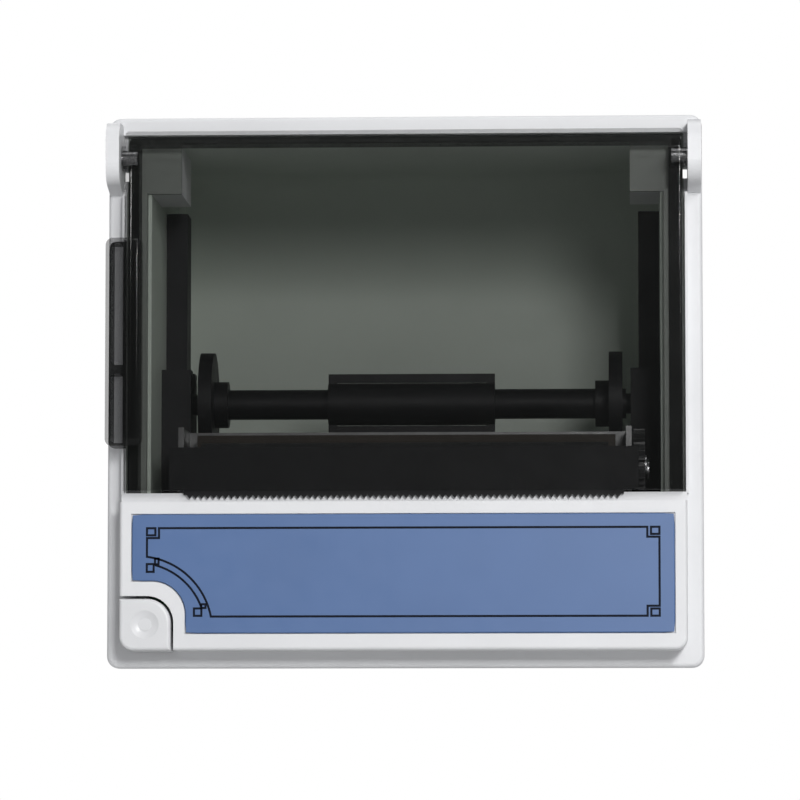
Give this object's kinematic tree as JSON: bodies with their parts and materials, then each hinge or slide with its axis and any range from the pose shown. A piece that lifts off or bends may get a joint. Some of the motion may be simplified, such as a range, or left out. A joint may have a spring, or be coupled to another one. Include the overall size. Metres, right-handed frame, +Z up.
{
  "type": "panel printer",
  "caption": "Flush-mounting receipt printer with a hinged smoked cover, paper bay with spool, toothed tear bar, blue front label and a corner feed button.",
  "frame": {"origin": "centre of the flange's back face, in the plane of the mounting panel", "axes": "+Z up, -Y out of the front, +X to the right seen from the front"},
  "size_m": [0.085, 0.0631, 0.079],
  "materials": {
    "white_plastic": "satin",
    "grey_plastic": "fine grain",
    "black_plastic": "fine grain",
    "smoked_plastic": "polished smoked",
    "label_blue": "satin print",
    "black_steel": "black coated",
    "steel": "plain",
    "aluminium": "plain",
    "head_ceramic": "glazed",
    "black_rubber": "ground",
    "gear_plastic": "moulded",
    "board_green": "solder mask",
    "component_black": "moulded"
  },
  "bodies": {
    "housing": {"bezel_frame": "white_plastic", "front_panel": "white_plastic", "paper_bucket": "grey_plastic", "paper_tray": "grey_plastic", "rear_plate": "grey_plastic", "clamp_left": "grey_plastic", "clamp_right": "grey_plastic", "spool_post_left": "black_plastic", "spool_post_right": "black_plastic", "label_plate": "label_blue", "gear_axle": "steel", "stepper_motor": "steel", "head_springs": "steel", "mechanism_frame": "steel", "frame_screws": "steel", "board_screws": "steel", "rear_screws": "steel", "clamp_screws": "steel", "head_heat_sink": "aluminium", "thermal_head": "head_ceramic", "control_board": "board_green", "button_board": "board_green", "board_chips": "component_black", "feed_switch": "component_black", "paper_sensor": "component_black", "power_connector": "component_black", "data_connector": "component_black"},
    "cover": {"cover_shell": "smoked_plastic", "cover_grip": "smoked_plastic", "hinge_pins": "steel", "platen_bracket": "black_steel", "bracket_screws": "steel", "tear_bar": "black_steel", "platen_bushings": "gear_plastic"},
    "platen": {"platen_roller": "black_rubber", "platen_shaft": "steel", "platen_gear": "gear_plastic"},
    "spool": {"spool_shaft": "black_plastic", "spool_disc_left": "black_plastic", "spool_disc_right": "black_plastic", "core_clip": "black_plastic"},
    "button": {"feed_button": "white_plastic", "switch_plunger": "gear_plastic"},
    "reduction": {"reduction_gear": "gear_plastic"},
    "pinion": {"motor_pinion": "gear_plastic", "motor_shaft": "steel"}
  },
  "joints": [
    {"name": "cover_hinge", "type": "hinge", "parent": "housing", "child": "cover", "pos_m": [0, -0.0056, 0.0332], "axis": [-1, 0, 0], "range_deg": [0, 105]},
    {"name": "platen_spin", "type": "hinge", "parent": "cover", "child": "platen", "pos_m": [0, -0.0022, -0.0108], "axis": [1, 0, 0], "continuous": true},
    {"name": "reduction_spin", "type": "hinge", "parent": "housing", "child": "reduction", "pos_m": [0.0334, 0.00645, -0.0108], "axis": [1, 0, 0], "continuous": true},
    {"name": "pinion_spin", "type": "hinge", "parent": "housing", "child": "pinion", "pos_m": [0.0334, 0.00645, -0.01845], "axis": [1, 0, 0], "continuous": true},
    {"name": "spool_spin", "type": "hinge", "parent": "housing", "child": "spool", "pos_m": [0, 0.02, 0], "axis": [1, 0, 0], "continuous": true},
    {"name": "button_press", "type": "slide", "parent": "housing", "child": "button", "axis": [0, 1, 0], "range_m": [0, 0.0005], "stiffness_N_per_m": 300, "springref_m": -0.0005}
  ],
  "couplings": [
    {"joint": "reduction_spin", "follows": "platen_spin", "ratio": -0.53571},
    {"joint": "pinion_spin", "follows": "platen_spin", "ratio": 1.5}
  ]
}
